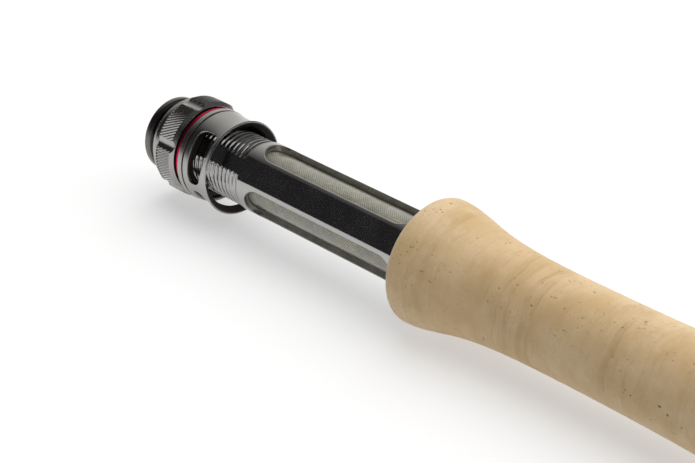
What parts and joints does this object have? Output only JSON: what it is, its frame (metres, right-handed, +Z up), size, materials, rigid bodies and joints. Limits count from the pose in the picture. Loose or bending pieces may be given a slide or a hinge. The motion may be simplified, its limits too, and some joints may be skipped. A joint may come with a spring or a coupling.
{
  "type": "fly rod butt section with reel seat",
  "caption": "Butt section of a fly rod: skeleton reel seat with a screw-locked sliding hood, cork full-wells grip, short graphite blank with hook keeper and ferrule socket.",
  "frame": {"origin": "on the surface that the rod lies on, under the middle of its length", "axes": "+X along the rod from the butt cap to the ferrule, +Z up; the rod's axis is level, and the reel-foot flat faces up and towards -Y"},
  "size_m": [0.366, 0.0296, 0.0296],
  "materials": {
    "hardware_dark": "dark grey anodised, semi-gloss",
    "barrel_gunmetal": "polished gunmetal anodising",
    "nut_gunmetal": "gunmetal anodising, knurled",
    "hood_gunmetal": "satin gunmetal anodising",
    "red_anodised": "bright red anodising",
    "black_ring": "matt black",
    "insert_woven": "woven composite under clear resin, grey olive",
    "arbor_foam": "dense foam",
    "cork": "sanded natural cork with small dark pores",
    "blank_graphite": "clear-coated carbon fibre",
    "keeper_wire": "bright stainless wire",
    "thread_wrap": "thread wound under clear epoxy"
  },
  "bodies": {
    "root": {"butt_cap": "hardware_dark", "seat_barrel": "barrel_gunmetal", "seat_insert": "insert_woven", "seat_arbor_rear": "arbor_foam", "seat_arbor_middle": "arbor_foam", "seat_arbor_front": "arbor_foam", "fixed_hood": "hardware_dark", "winding_check": "hardware_dark", "rod_blank": "blank_graphite", "hook_keeper": "keeper_wire", "keeper_wraps": "thread_wrap", "ferrule_wrap": "thread_wrap", "cork_ring_01": "cork", "cork_ring_02": "cork", "cork_ring_03": "cork", "cork_ring_04": "cork", "cork_ring_05": "cork", "cork_ring_06": "cork", "cork_ring_07": "cork", "cork_ring_08": "cork", "cork_ring_09": "cork", "cork_ring_10": "cork", "cork_ring_11": "cork", "cork_ring_12": "cork", "cork_ring_13": "cork", "cork_ring_14": "cork"},
    "hood": {"sliding_hood": "hood_gunmetal", "hood_collar": "hood_gunmetal", "red_ring": "red_anodised"},
    "nut": {"lock_nut": "nut_gunmetal", "nut_o_ring": "black_ring"}
  },
  "joints": [
    {"name": "hood_slide", "type": "slide", "parent": "root", "child": "hood", "axis": [1, 0, 0], "range_m": [0, 0.01975]},
    {"name": "nut_turn", "type": "hinge", "parent": "hood", "child": "nut", "pos_m": [-0.1738, 0, 0.0148], "axis": [1, 0, 0], "range_deg": [0, 5041]}
  ],
  "couplings": [
    {"joint": "nut_turn", "follows": "hood_slide", "rad_per_m": 4453}
  ]
}
